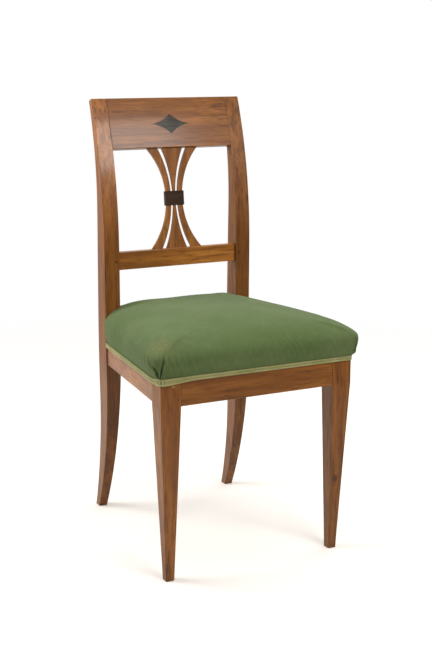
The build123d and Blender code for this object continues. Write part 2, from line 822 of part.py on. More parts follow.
pieces = {
    "front_leg_right": front_leg,
    "front_leg_left": mirrored(front_leg),
    "rear_leg_right": rear_leg,
    "rear_leg_left": mirrored(rear_leg),
    "front_seat_rail": front_rail - rail_holes,
    "rear_seat_rail": rear_rail - rail_holes,
    "right_seat_rail": right_rail,
    "left_seat_rail": mirrored(right_rail),
    "lower_back_rail": lower_rail - splat_mortises() - peg_holes,
    "crest_rail": crest - splat_mortises(),
    "crest_star_inlay": star_prism() & crest_body,
    "splat_slat_right": outer_slat(),
    "splat_slat_left": mirrored(outer_slat()),
    "splat_centre_slat": centre_slat(),
    "splat_collar_front": collar_half(1),
    "splat_collar_back": collar_half(-1),
    "joint_pegs": Compound(pegs),
    "corner_block_front_right": front_block,
    "corner_block_front_left": mirrored(front_block),
    "corner_block_rear_right": rear_block,
    "corner_block_rear_left": mirrored(rear_block),
    "corner_block_screws": Compound(screws),
    "webbing_tacks": Compound(webbing_tacks),
    "hessian": hessian - stile_room(cover_clearance),
    "seat_stuffing": stuffing - stile_room(cover_clearance),
    "seat_cover": seat_cover() - stile_room(cover_clearance) - cover_holes,
    "cover_tacks": Compound(cover_tacks),
    "seat_gimp_front": gimp_parts[0],
    "seat_gimp_back": gimp_parts[-1],
}
for index, place in enumerate(("left", "centre", "right")):
    pieces[f"webbing_long_{place}"] = long_strap(index) - webbing_holes
for index, place in enumerate(("front", "middle", "rear")):
    pieces[f"webbing_cross_{place}"] = cross_strap(index) - webbing_holes

# The seat's front and the rear feet lie equally far from the origin
widest_height = cover_clearance + widest_rise * (cushion_crown - cover_clearance)
seat_front = seat_point(0, -cushion_bulge, widest_height).Y
middle_shift = -(seat_front + foot_back) / 2

os.makedirs("parts", exist_ok=True)
for name, shape in pieces.items():
    export_step(Pos(0, middle_shift, 0) * shape, f"parts/{name}.step")
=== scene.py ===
import math

import bpy
import numpy as np
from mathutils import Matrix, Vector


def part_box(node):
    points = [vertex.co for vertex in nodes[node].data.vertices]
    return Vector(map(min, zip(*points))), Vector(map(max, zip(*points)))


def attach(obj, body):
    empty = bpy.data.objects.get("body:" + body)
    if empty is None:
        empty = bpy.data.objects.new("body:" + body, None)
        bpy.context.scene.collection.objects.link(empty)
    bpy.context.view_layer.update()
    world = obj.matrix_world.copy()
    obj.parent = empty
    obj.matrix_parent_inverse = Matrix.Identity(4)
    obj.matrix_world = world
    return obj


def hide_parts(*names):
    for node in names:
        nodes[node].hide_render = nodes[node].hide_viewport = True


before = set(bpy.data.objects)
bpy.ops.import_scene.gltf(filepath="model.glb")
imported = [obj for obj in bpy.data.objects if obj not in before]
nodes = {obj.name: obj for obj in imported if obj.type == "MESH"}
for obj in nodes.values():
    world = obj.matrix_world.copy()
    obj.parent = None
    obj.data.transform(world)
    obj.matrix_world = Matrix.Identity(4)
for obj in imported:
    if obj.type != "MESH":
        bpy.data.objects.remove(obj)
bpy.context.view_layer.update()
scene = bpy.context.scene

# The seat's own frame, in metres: the rail tops fall to the rear
SEAT_FALL = 0.012
SEAT_DEPTH = 0.358
LEG_SIZE = 0.041
RAIL_BACK = 0.400
SIDE_REAR = 0.16024
CROWN = 0.0905
BULGE = 0.0185
REAR_BULGE = 0.004
SKIRT = 0.0014
COVER_DROP = 0.012
STUFFING_LEVEL = 0.0049
GIMP_HEIGHT = 0.0086
GIMP_INNER = 0.0016
STILE_GAP = 0.0006

slope = SEAT_FALL / SEAT_DEPTH
seat_cos = 1 / math.hypot(1, slope)
seat_sin = slope * seat_cos
front_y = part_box("front_leg_right")[0][1]
seat_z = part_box("front_leg_right")[1][2]
front_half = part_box("front_leg_right")[1][0]
stile_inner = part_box("rear_leg_right")[0][0]
frame_rear = RAIL_BACK / seat_cos + COVER_DROP * slope


def to_world(points):
    """Points (x, along, height) of the seat's frame in the row frame."""
    p = np.asarray(points, float)
    y = front_y + p[..., 1] * seat_cos + p[..., 2] * seat_sin
    z = seat_z - p[..., 1] * seat_sin + p[..., 2] * seat_cos
    return np.stack([p[..., 0], y, z], axis=-1)


def from_world(points):
    """Points of the row frame in the seat's frame."""
    p = np.asarray(points, float)
    y, z = p[..., 1] - front_y, p[..., 2] - seat_z
    return np.stack([p[..., 0], y * seat_cos - z * seat_sin, y * seat_sin + z * seat_cos], axis=-1)


def new_object(name, points, faces, smooth=True):
    mesh = bpy.data.meshes.new(name)
    mesh.from_pydata([tuple(p) for p in points], [], [tuple(f) for f in faces])
    mesh.update()
    mesh.polygons.foreach_set("use_smooth", [smooth] * len(mesh.polygons))
    made = bpy.data.objects.new(name, mesh)
    scene.collection.objects.link(made)
    return made


def ring_walls(count, size):
    """Faces between count closed rings of size points each."""
    k, i = np.meshgrid(np.arange(count - 1), np.arange(size), indexing="ij")
    j = (i + 1) % size
    walls = np.stack([k * size + i, k * size + j, (k + 1) * size + j, (k + 1) * size + i], axis=-1)
    return [tuple(int(x) for x in f) for f in walls.reshape(-1, 4)]


def tube_faces(count, size, order=1):
    """Faces of a closed tube of count sections with size points each."""
    faces = []
    for i in range(count - 1):
        for j in range(size):
            k = (j + 1) % size
            faces.append((i * size + j, (i + 1) * size + j, (i + 1) * size + k, i * size + k)[::order])
    return faces + [tuple(range(size))[::order], tuple(range((count - 1) * size, count * size))[::-order]]


# Node trees
class Nodes:
    """Short way to write the node tree of a material or a world."""

    def __init__(self, owner, output="OutputMaterial"):
        self.owner = owner
        owner.use_nodes = True
        self.tree = owner.node_tree
        self.tree.nodes.clear()
        self.out = self.add(output)

    def add(self, kind, inputs=None, **settings):
        node = self.tree.nodes.new("ShaderNode" + kind)
        for key, value in settings.items():
            setattr(node, key, value)
        for key, value in (inputs or {}).items():
            self.put(value, node.inputs[key])
        return node

    def put(self, value, socket):
        if isinstance(value, bpy.types.NodeSocket):
            self.tree.links.new(value, socket)
        else:
            socket.default_value = value

    def place(self):
        return self.add("TexCoord").outputs["Object"]

    def math(self, operation, a, b=0.0, c=0.0):
        return self.add("Math", {0: a, 1: b, 2: c}, operation=operation).outputs[0]

    def vector(self, operation, a, b=(0.0, 0.0, 0.0)):
        return self.add("VectorMath", {0: a, 1: b}, operation=operation).outputs["Vector"]

    def measure(self, operation, a, b=(0.0, 0.0, 0.0)):
        """A vector operation that gives one number."""
        return self.add("VectorMath", {0: a, 1: b}, operation=operation).outputs["Value"]

    def scaled(self, vector, factors, shift=(0.0, 0.0, 0.0)):
        node = self.add("VectorMath", {0: vector, 1: factors, 2: shift}, operation="MULTIPLY_ADD")
        return node.outputs["Vector"]

    def mix(self, share, a, b, blend="MIX"):
        node = self.add("Mix", data_type="RGBA", blend_type=blend)
        for index, value in ((0, share), (6, a), (7, b)):
            self.put(value, node.inputs[index])
        return node.outputs[2]

    def span(self, value, low, high, to_low=0.0, to_high=1.0, kind="SMOOTHSTEP"):
        inputs = {0: value, 1: low, 2: high, 3: to_low, 4: to_high}
        return self.add("MapRange", inputs, interpolation_type=kind).outputs[0]

    def noise(self, vector, scale, detail=3.0, rough=0.55, twist=0.0):
        return self.add("TexNoise", {"Vector": vector, "Scale": scale, "Detail": detail,
                                     "Roughness": rough, "Distortion": twist}).outputs["Fac"]

    def weave(self, vector, warp, weft, waver, detail):
        """Threads that run both ways, as bands of the two scales."""
        bands = []
        for scale, way in ((warp, "X"), (weft, "Y")):
            inputs = {"Vector": vector, "Scale": scale, "Distortion": waver, "Detail": detail}
            wave = self.add("TexWave", inputs, wave_type="BANDS", bands_direction=way)
            bands.append(wave.outputs["Fac"])
        return self.math("MAXIMUM", *bands)

    def stored(self, name):
        """A value kept with the points of the mesh."""
        return self.add("Attribute", attribute_name=name, attribute_type="GEOMETRY").outputs["Fac"]

    def bump(self, height, strength, distance):
        return self.add("Bump", {"Height": height, "Strength": strength, "Distance": distance}).outputs[0]

    def finish(self, shader):
        self.tree.links.new(shader.outputs[0], self.out.inputs[0])
        return self.owner


def material(name):
    return Nodes(bpy.data.materials.new(name))


def colour(red, green, blue):
    return (red, green, blue, 1.0)


WHITE = colour(1.0, 1.0, 1.0)

# Polished wood
WOOD_LIGHT = colour(0.330, 0.120, 0.020)
WOOD_MIDDLE = colour(0.180, 0.058, 0.008)
WOOD_DARK = colour(0.045, 0.014, 0.003)
RUBBED = colour(0.42, 0.24, 0.10)
GRAIN_STRETCH = 0.05
PORE_STRETCH = 0.025
SEED_STEP = (1.37, 2.11, 0.73)
WARP_SCALE = 9.0
WARP_REACH = (0.009, 0.009, 0.004)
FIGURE_SCALE = 62.0
STREAK_SCALE = 190.0
FIBRE_SCALE = 520.0
PORE_SCALE = 900.0
TINT_SCALE = 7.0
PATCH_SCALE = 60.0
KNOT_SCALE = 160.0
RUB_SCALE = 130.0
WORN_EDGE = 0.0022
JOINT_LINE = 0.0016
SHADE_WAVER = 0.04
POLISH_ROUGH = 0.14
GRAIN_DEPTH = 0.0003


def along_grain(axis, stretch):
    """Factors that draw a texture out along the grain."""
    return tuple(stretch if letter == axis else 1.0 for letter in "xyz")


def grain(n, place, axis, shift, light, middle, dark):
    """Colour of the wood before any wear, with the noises of its fibres and streaks."""
    along = n.scaled(place, along_grain(axis, GRAIN_STRETCH), shift)
    shifted = n.scaled(place, (1, 1, 1), shift)
    warp = n.noise(shifted, WARP_SCALE, 2.0)
    warp = n.add("CombineXYZ", {0: warp, 1: warp, 2: warp}).outputs[0]
    warped = n.vector("ADD", along, n.scaled(warp, WARP_REACH))
    figure = n.noise(warped, FIGURE_SCALE, 5.0, 0.62, 0.2)
    streak = n.noise(warped, STREAK_SCALE, 4.0, 0.6)
    fibre = n.noise(along, FIBRE_SCALE, 2.0)
    pores = n.noise(n.scaled(place, along_grain(axis, PORE_STRETCH), shift), PORE_SCALE, 2.0)
    tint = n.noise(shifted, TINT_SCALE, 2.0)
    body = n.mix(n.span(figure, 0.38, 0.62), middle, light)
    body = n.mix(n.math("MULTIPLY", n.span(streak, 0.50, 0.70), 0.75), body, dark)
    body = n.mix(n.math("MULTIPLY", n.span(fibre, 0.54, 0.70), 0.50), body, dark)
    body = n.mix(n.span(pores, 0.60, 0.70, 0.0, 0.55), body, dark)
    body = n.mix(n.span(tint, 0.30, 0.70, 0.0, 0.42), body, middle)
    return body, fibre, streak


def edges(n):
    """1 on sharp edges, where the polish is rubbed thin, and 0 on faces."""
    rounded = n.add("Bevel", {"Radius": WORN_EDGE}, samples=6).outputs[0]
    facing = n.measure("DOT_PRODUCT", rounded, n.add("NewGeometry").outputs["Normal"])
    return n.span(facing, 0.985, 0.90)


def wood(name, axis, seed, tone=1.0, light=WOOD_LIGHT, middle=WOOD_MIDDLE, dark=WOOD_DARK, rough=0.38,
         coat=0.22, gleam=0.20, spots=(), ends=None, worn_at=(), shade=None):
    """Polished wood with its grain along an axis. Spots are knots and worn_at rubbed patches: place, radius.
    Ends are the planes, low and high along the grain, where a rail's shoulders meet its neighbours.
    Shade darkens the wood along its grain, painted shade and dirt: where it is full, where it ends along the
    grain, and its depth."""
    n = material(name)
    place = n.place()
    shift = tuple(seed * step for step in SEED_STEP)
    body, fibre, streak = grain(n, place, axis, shift, light, middle, dark)
    patchy = n.noise(n.scaled(place, (1, 1, 1), shift), PATCH_SCALE, 3.0)
    worn = n.math("MULTIPLY", edges(n), n.span(patchy, 0.38, 0.68, 0.05, 0.6))
    body = n.mix(worn, body, light)
    for centre, radius in spots:
        away = n.measure("DISTANCE", place, centre)
        wobble = n.math("MULTIPLY_ADD", n.noise(place, KNOT_SCALE, 2.0), radius * 0.9, away)
        body = n.mix(n.span(wobble, radius * 1.55, radius * 0.7, 0.0, 0.85), body, dark)
    for centre, radius in worn_at:
        away = n.measure("DISTANCE", place, centre)
        wobble = n.math("MULTIPLY_ADD", n.noise(place, RUB_SCALE, 2.0), radius, away)
        body = n.mix(n.span(wobble, radius * 1.5, radius, 0.0, 0.60), body, RUBBED)
    run = n.add("SeparateXYZ", {0: place}).outputs["xyz".index(axis)]
    if shade is not None:
        full, end, depth = shade
        # painted shade and dirt: the wood darkened along its grain
        painted_shade_and_dirt = n.span(n.math("MULTIPLY_ADD", patchy, SHADE_WAVER, run), full, end, depth, 0.0)
        body = n.mix(painted_shade_and_dirt, body, dark)
    if ends is not None:
        line = n.math("MINIMUM", n.math("SUBTRACT", run, ends[0]), n.math("SUBTRACT", ends[1], run))
        body = n.mix(n.span(line, JOINT_LINE, JOINT_LINE * 0.4, 0.0, 0.50), body, dark)
    if tone != 1.0:
        body = n.mix(1.0, body, colour(tone, tone, tone), "MULTIPLY")
    gloss = n.math("MULTIPLY_ADD", patchy, 0.16, rough - 0.08)
    gloss = n.math("MULTIPLY_ADD", n.span(fibre, 0.5, 0.75), 0.08, gloss)
    height = n.math("MULTIPLY_ADD", fibre, -0.5, n.math("MULTIPLY", streak, -0.5))
    return n.finish(n.add("BsdfPrincipled", {
        "Base Color": body, "Roughness": gloss, "Normal": n.bump(height, 0.25, GRAIN_DEPTH),
        "Coat Weight": coat, "Coat Roughness": POLISH_ROUGH, "Specular IOR Level": gleam}))


def paint(names, made):
    for name in names:
        node = nodes[name]
        node.data.materials.clear()
        node.data.materials.append(made)


ORANGE = {"light": colour(0.400, 0.155, 0.027), "middle": colour(0.240, 0.084, 0.013)}
BLACK = {"light": colour(0.060, 0.048, 0.038), "middle": colour(0.032, 0.026, 0.020),
         "dark": colour(0.012, 0.010, 0.008), "coat": 0.07, "gleam": 0.09}
BROWN_BLACK = {"light": colour(0.046, 0.022, 0.010), "middle": colour(0.024, 0.011, 0.005),
               "dark": colour(0.010, 0.004, 0.002), "coat": 0.08, "gleam": 0.12}
RAW = {"light": colour(0.62, 0.46, 0.28), "middle": colour(0.50, 0.34, 0.19),
       "dark": colour(0.30, 0.18, 0.09), "coat": 0.0}

# Where the photo shows marks of age
PEG_INSET = 0.0075
PEG_SMUDGE = 0.0040
RUBBED_CORNER = ((-0.1765, -0.2183, 0.3845), 0.0042)
LEG_KNOT = ((0.1773, -0.2099, 0.1506), 0.0085)
STILE_DOT = ((-0.1645, 0.1859, 0.8434), 0.0030)
RAIL_NICK = ((-0.1779, 0.0253, 0.3754), 0.0030)

peg_x = stile_inner + PEG_INSET
peg_y = front_y + SEAT_DEPTH
peg_z = 0.5 * (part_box("lower_back_rail")[0][2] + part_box("lower_back_rail")[1][2])
left_peg, right_peg = [((side * peg_x, peg_y, peg_z), PEG_SMUDGE) for side in (-1, 1)]
leg_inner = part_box("front_leg_right")[0][0]
leg_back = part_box("front_leg_right")[1][1]
across_back, across_front = (-stile_inner, stile_inner), (-leg_inner, leg_inner)
along_side = (leg_back, peg_y)

# Grain axis, seed, tone and other settings of each piece's wood; some tones and shades paint light and shade
woods = {
    # front legs: their shade, darker towards the foot, is painted shade for the lamps' falloff
    "front_leg_left": ("z", 1, 0.90, {"worn_at": [RUBBED_CORNER], "shade": (0.05, 0.38, 0.22)}),
    # right legs: their lower tones are partly painted shade under the seat
    "front_leg_right": ("z", 2, 0.82, {"spots": [LEG_KNOT], "shade": (0.05, 0.38, 0.25)}),
    # rear left leg: its high tone partly paints the light from the left; the stiles' shade towards the seat
    # is painted shade and dirt
    "rear_leg_left": ("z", 3, 1.24, {"spots": [STILE_DOT, left_peg], "shade": (0.50, 0.76, 0.52)}),
    "rear_leg_right": ("z", 4, 0.84, {"spots": [right_peg], "shade": (0.55, 0.85, 0.25)}),
    "splat_slat_left": ("z", 5, 1.00, {}),
    "splat_slat_right": ("z", 6, 1.00, {}),
    "splat_centre_slat": ("z", 7, 1.02, {}),
    "front_seat_rail": ("x", 11, 0.76, {"ends": across_front}),
    "rear_seat_rail": ("x", 12, 0.90, {"ends": across_back}),
    # lower back rail: its shade, darker at the left end, is painted shade and dirt
    "lower_back_rail": ("x", 13, 1.15, {"ends": across_back, "shade": (-0.10, 0.05, 0.35), **ORANGE}),
    "crest_rail": ("x", 14, 0.95, {"ends": across_back}),
    "left_seat_rail": ("y", 21, 1.00, {"ends": along_side, "spots": [RAIL_NICK]}),
    "right_seat_rail": ("y", 22, 1.00, {"ends": along_side}),
}
for name, (axis, seed, tone, more) in woods.items():
    paint([name], wood("wood_" + name, axis, seed, tone, **more))
paint(["crest_star_inlay"], wood("star_wood", "x", 31, rough=0.34, **BLACK))
paint(["splat_collar_front", "splat_collar_back"], wood("collar_wood", "x", 32, rough=0.42, **BROWN_BLACK))
paint(["joint_pegs"], wood("peg_wood", "y", 33, tone=0.35, rough=0.5))
blocks = [name for name in nodes if name.startswith("corner_block") and not name.endswith("screws")]
paint(blocks, wood("block_wood", "x", 34, rough=0.75, **RAW))


def steel():
    n = material("blued_steel")
    rust = n.noise(n.place(), 700.0, 3.0)
    tone = n.mix(n.span(rust, 0.45, 0.7), colour(0.20, 0.20, 0.21), colour(0.16, 0.09, 0.05))
    rough = n.span(rust, 0.35, 0.7, 0.35, 0.7)
    return n.finish(n.add("BsdfPrincipled", {"Base Color": tone, "Roughness": rough, "Metallic": 0.9}))


paint(["corner_block_screws", "webbing_tacks", "cover_tacks"], steel())

# Seat cushion: rings of points from the cover's lower edge up over the bulge and the dome to the crown
RING_COUNTS = (60, 30, 94, 20, 28)  # half ring: front, front corner, side, round the stile, rear
CURVE_POINTS = 30
BEND_POINTS = 40
FINER = 0.55  # how much closer points lie towards the corners
WIDEST_RISE = 0.39
DOME_POWER = 2.1
CROWN_TILT = 0.004  # the crown is higher at the rear and worn down in front
TILT_FADE = 0.035
DOME_REACH = 0.60
SIDE_STEPS = 7
DOME_STEPS = 11
HEM_SHARES = (1.0, 0.75, 0.5, 0.25)
HEM_CORNER = 0.0012
CROWN_CORNER = 0.024
CORNER_GROWTH = 0.3  # how fast the corners of the dome open out
REAR_CORNER = 0.022
NOTCH_BLEND = 0.012
INNER_SCALES = (0.84, 0.68, 0.52, 0.38)
CAP_SCALE = 0.93
FRONT_LIFT = 0.0042  # the braid was tacked on higher along the front than along the sides
LIFT_DEPTH = 0.050
LIFT_RUN = 0.075
COVER_THICK = 0.0009
INNER_CORNER = 0.0016
HEM_TUCK = 0.0004
UNDER_RADIUS = 0.16
UNDER_SHARES = (0.35, 0.7)


def smooth_step(value):
    value = np.clip(value, 0.0, 1.0)
    return value * value * (3 - 2 * value)


def lower_edge(x, along):
    """Height of the lower edge of the cover and of its braid."""
    in_front = 1 - smooth_step(np.asarray(along) / LIFT_DEPTH)
    from_left = smooth_step((np.asarray(x) + front_half) / LIFT_RUN)
    return FRONT_LIFT * in_front * from_left - COVER_DROP


def frame_side(along):
    """Half width of the seat frame at a distance from its front."""
    run = np.maximum(np.asarray(along, float) - LEG_SIZE, 0.0) / (frame_rear - LEG_SIZE)
    return front_half + run * (SIDE_REAR - front_half)


def lengths(line):
    """Length along a line of points up to each of them."""
    return np.concatenate([[0.0], np.cumsum(np.linalg.norm(np.diff(line, axis=0), axis=1))])


def along_path(corners, count, finer=0):
    """Points on a line of corners, without its last point, closer at its start (1) or its end (-1)."""
    corners = np.asarray(corners, float)
    steps = lengths(corners)
    share = np.linspace(0.0, 1.0, count, endpoint=False)
    share = share - finer * FINER * (share - share**2)
    return np.stack([np.interp(share * steps[-1], steps, corners[:, i]) for i in (0, 1)], axis=1)


def arc(centre, radius, start, end, count):
    turn = np.linspace(start, end, count)
    return np.stack([centre[0] + radius * np.cos(turn), centre[1] + radius * np.sin(turn)], axis=1)


def half_ring(overhang, rear_overhang, corner, height):
    """Right half of a ring, from the middle of the front to the middle of the rear."""
    front = -overhang
    turn = front + corner
    rear = frame_rear + rear_overhang
    wide = frame_side(turn) + overhang
    stile_front = (SEAT_DEPTH - STILE_GAP - height * seat_sin) / seat_cos
    inner = stile_inner - STILE_GAP
    side_along = np.linspace(turn, min(stile_front, rear - REAR_CORNER), CURVE_POINTS)
    side_over = overhang + (rear_overhang - overhang) * (side_along - turn) / (rear - turn)
    side = np.stack([frame_side(side_along) + side_over, side_along], axis=1)
    rear_wide = frame_side(rear) + rear_overhang
    plain = arc((rear_wide - REAR_CORNER, rear - REAR_CORNER), REAR_CORNER, 0.0, math.pi / 2, CURVE_POINTS)
    plain = np.concatenate([side[-1:], plain, [(min(inner, plain[-1][0]), rear)]])
    cut = float(np.clip(min(rear_wide - inner, rear - stile_front) / NOTCH_BLEND, 0.0, 1.0))
    notch = along_path([side[-1], (inner, stile_front), (inner, rear)], RING_COUNTS[3])
    around = notch * cut + along_path(plain, RING_COUNTS[3]) * (1 - cut)
    last = np.array((inner, rear)) * cut + plain[-1] * (1 - cut)
    bend = arc((wide - corner, turn), corner, -math.pi / 2, 0.0, BEND_POINTS)
    return np.concatenate([
        along_path([(0.0, front), (wide - corner, front)], RING_COUNTS[0], -1),
        along_path(bend, RING_COUNTS[1]),
        along_path(side, RING_COUNTS[2], 1),
        around,
        along_path([last, (0.0, rear)], RING_COUNTS[4]),
        [(0.0, rear)],
    ])


def full_ring(half):
    left = half[-2:0:-1] * np.array((-1.0, 1.0))
    return np.concatenate([half, left])


def lifted(ring, height):
    height = np.broadcast_to(height, len(ring))
    return np.concatenate([ring, height[:, None]], axis=1)


def ring_middle(ring):
    return np.array([0.0, 0.5 * (ring[:, 1].min() + ring[:, 1].max())])


def smooth_rows(rows, steps):
    """Cubic curve through rows of numbers, steps points for each span."""
    rows = np.asarray(rows, float)
    padded = np.concatenate([[2 * rows[0] - rows[1]], rows, [2 * rows[-1] - rows[-2]]])
    made = []
    for i in range(1, len(padded) - 2):
        a, b, c, d = padded[i - 1:i + 3]
        for t in np.arange(steps) / steps:
            curve = (2 * a - 5 * b + 4 * c - d) * t**2 + (3 * b - a - 3 * c + d) * t**3
            made.append(0.5 * (2 * b + (c - a) * t + curve))
    made.append(rows[-1])
    return np.array(made)


def dome_rise(share):
    return (1 - (1 - share) ** DOME_POWER) ** (1 / DOME_POWER)


def outer_rings():
    """Outside of the cover, from its lower edge over the bulge to the middle of the crown."""
    widest = WIDEST_RISE * CROWN
    tight = HEM_CORNER + SKIRT
    hem = full_ring(half_ring(SKIRT, SKIRT, tight, 0.0))
    edge = lower_edge(hem[:, 0], hem[:, 1])
    rings = [lifted(hem, edge * share) for share in HEM_SHARES]
    for step in range(SIDE_STEPS + 1):
        share = math.sin(step / SIDE_STEPS * math.pi / 2)
        height = widest * step / SIDE_STEPS
        ring = half_ring(SKIRT + share * (BULGE - SKIRT), SKIRT + share * (REAR_BULGE - SKIRT),
                         tight + share * (CROWN_CORNER - tight), height)
        rings.append(lifted(full_ring(ring), height))
    for step in range(1, DOME_STEPS + 1):
        share = DOME_REACH * (step / DOME_STEPS) ** 2
        inset = share * front_half
        height = widest + dome_rise(share) * (CROWN - widest)
        ring = half_ring(BULGE - inset, REAR_BULGE - inset, CROWN_CORNER + CORNER_GROWTH * inset, height)
        rings.append(lifted(full_ring(ring), height))
    top = rings[-1]
    middle = ring_middle(top)
    for scale in INNER_SCALES:
        plan = middle + (top[:, :2] - middle) * scale
        rings.append(lifted(plan, top[0, 2] + (CROWN - top[0, 2]) * (1 - scale**2)))
    for ring in rings:
        rear_share = ring[:, 1] / (0.5 * SEAT_DEPTH) - 1
        ring[:, 2] += CROWN_TILT * rear_share * smooth_step((ring[:, 2] - widest) / TILT_FADE)
    return rings


def inner_rings(around):
    """Underside of the cushion and the inside of the cover's skirt, from the middle outwards."""
    inside = SKIRT - COVER_THICK
    edge = around(full_ring(half_ring(inside, inside, INNER_CORNER, 0.0)))
    middle = ring_middle(edge)
    turn = np.arctan2(edge[:, 1] - middle[1], edge[:, 0])
    oval = middle + UNDER_RADIUS * np.stack([np.cos(turn), np.sin(turn)], axis=1)
    rings = [lifted(middle + (oval - middle) * share, STUFFING_LEVEL) for share in UNDER_SHARES]
    rings.append(lifted(0.5 * (oval + edge), STUFFING_LEVEL))
    rings += [lifted(edge, STUFFING_LEVEL), lifted(edge, 0.0)]
    return rings + [lifted(edge, lower_edge(edge[:, 0], edge[:, 1]) + HEM_TUCK)]


def capped(ring):
    """Points and faces that close a ring: a ring of every fourth point inside it, filled with a grid."""
    size, count = len(ring), len(ring) // 4
    side = count // 4
    middle = ring.mean(axis=0)
    inside = middle + (ring[::4] - middle) * CAP_SCALE
    share = np.arange(side + 1) / side
    low, right = inside[:side + 1], inside[side:2 * side + 1]
    high = inside[2 * side:3 * side + 1][::-1]
    left = np.concatenate([inside[3 * side:], inside[:1]])[::-1]
    u, v = share[:, None, None], share[None, :, None]
    grid = (1 - v) * low[:, None] + v * high[:, None] + (1 - u) * left[None] + u * right[None]
    grid -= (1 - u) * (1 - v) * low[0] + u * (1 - v) * low[-1] + (1 - u) * v * high[0] + u * v * high[-1]
    index = np.zeros((side + 1, side + 1), int)
    index[:, 0] = size + np.arange(side + 1)
    index[-1, :] = size + np.arange(side, 2 * side + 1)
    index[::-1, -1] = size + np.arange(2 * side, 3 * side + 1)
    index[0, ::-1] = size + np.arange(3 * side, count + 1) % count
    index[1:-1, 1:-1] = size + count + np.arange((side - 1) ** 2).reshape(side - 1, side - 1)
    quads = np.stack([index[:-1, :-1], index[1:, :-1], index[1:, 1:], index[:-1, 1:]], axis=-1)
    faces = [tuple(f) for f in quads.reshape(-1, 4)]
    for j in range(count):
        a = [(4 * j + i) % size for i in range(5)]
        b, c = size + j, size + (j + 1) % count
        faces += [(a[0], a[1], b), (a[1], a[2], b), (a[2], c, b), (a[2], a[3], c), (a[3], a[4], c)]
    return np.concatenate([inside, grid[1:-1, 1:-1].reshape(-1, 3)]), faces


def closed_form(rings):
    """Points and faces of a form closed at both ends, from the middle of its underside to its crown."""
    size = len(rings[0])
    points = np.concatenate(rings)
    faces = ring_walls(len(rings), size)
    last = (len(rings) - 1) * size
    for ring, base, order in ((rings[0], 0, -1), (rings[-1], last, 1)):
        fill, made = capped(ring)
        beyond = len(points) - size
        for face in made:
            faces.append(tuple(int(base + x if x < size else beyond + x) for x in face)[::order])
        points = np.concatenate([points, fill])
    return points, faces


def twice_around(rings):
    """Closed rings with cubic points halfway between their points."""
    rings = np.asarray(rings)
    axis = rings.ndim - 2
    half = 9 * (rings + np.roll(rings, -1, axis)) - np.roll(rings, 1, axis) - np.roll(rings, -2, axis)
    return np.stack([rings, half / 16], axis=axis + 1).reshape(rings.shape[:axis] + (-1, rings.shape[-1]))


# The cushion inflated as cloth
CLOTH_FRAMES = 20
CLOTH_PRESSURE = 4.0
SWELL_LIMIT = 0.003
PINNED_BELOW = 0.002
PIN_FADE = 0.010
STILE_HOLD = 0.004
STILE_FRONT_HOLD = 0.006


def settle(piece, pins):
    """Inflates the piece as cloth, pinned where pins is 1, and keeps each point near its start."""
    start = np.array([v.co for v in piece.data.vertices], float)
    group = piece.vertex_groups.new(name="pinned")
    pins = np.round(pins, 2)
    for weight in np.unique(pins[pins > 0]):
        group.add([int(i) for i in np.flatnonzero(pins == weight)], float(weight), "REPLACE")
    cloth = piece.modifiers.new("cloth", "CLOTH")
    cloth.settings.quality = 6
    cloth.settings.mass = 0.3
    cloth.settings.tension_stiffness = 25.0
    cloth.settings.compression_stiffness = 25.0
    cloth.settings.shear_stiffness = 12.0
    cloth.settings.bending_stiffness = 0.6
    cloth.settings.use_pressure = True
    cloth.settings.uniform_pressure_force = CLOTH_PRESSURE
    cloth.settings.effector_weights.gravity = 0.0
    cloth.settings.vertex_group_mass = group.name
    cloth.collision_settings.use_collision = False
    cloth.point_cache.frame_start, cloth.point_cache.frame_end = 1, CLOTH_FRAMES
    for step in range(1, CLOTH_FRAMES + 1):
        scene.frame_set(step)
    graph = bpy.context.evaluated_depsgraph_get()
    swollen = piece.evaluated_get(graph).data
    end = np.array([v.co for v in swollen.vertices], float)
    scene.frame_set(1)
    move = end - start
    far = np.linalg.norm(move, axis=1, keepdims=True)
    return start + move * SWELL_LIMIT * np.tanh(far / SWELL_LIMIT) / np.maximum(far, 1e-9)


def stuffed_seat():
    """Rings of the underside and of the cover's outside, inflated as cloth and then made twice as fine."""
    outer, inner = outer_rings(), inner_rings(np.asarray)
    size = len(outer[0])
    swollen = np.array(outer)
    points, faces = closed_form(inner + outer)
    free = slice(len(inner) * size, (len(inner) + len(outer)) * size)
    crown_cap = (len(points) - (len(inner) + len(outer)) * size) // 2
    pins = np.ones(len(points))
    pins[free] = np.clip(1 - (points[free, 2] - PINNED_BELOW) / PIN_FADE, 0.0, 1.0)
    pins[-crown_cap:] = 0.0
    by_stile = np.abs(points[:, 0]) > stile_inner - STILE_HOLD
    pins[by_stile & (points[:, 1] > SEAT_DEPTH - STILE_FRONT_HOLD)] = 1.0
    trial = new_object("trial_cushion", to_world(points), faces)
    swollen = from_world(settle(trial, pins))[free].reshape(swollen.shape)
    mesh = trial.data
    bpy.data.objects.remove(trial)
    bpy.data.meshes.remove(mesh)
    rows = smooth_rows(swollen.reshape(len(outer), -1), 2).reshape(-1, size, 3)
    return inner_rings(twice_around), twice_around(rows)


# Pleats at the front corners, gathers over the shoulder and the dents of use
PLEATS = (  # spread, depth, top, width
    (0.030, 0.0050, 0.036, 0.0034),
    (0.011, 0.0042, 0.026, 0.0024),
    (-0.010, 0.0050, 0.044, 0.0021),
)
PLEAT_FOOT = 0.001
PLEAT_FADE = 0.005
PLEAT_RIDGE = (0.4, 2.2, 1.3)  # share of the depth, distance and width as multiples of the pleat's width
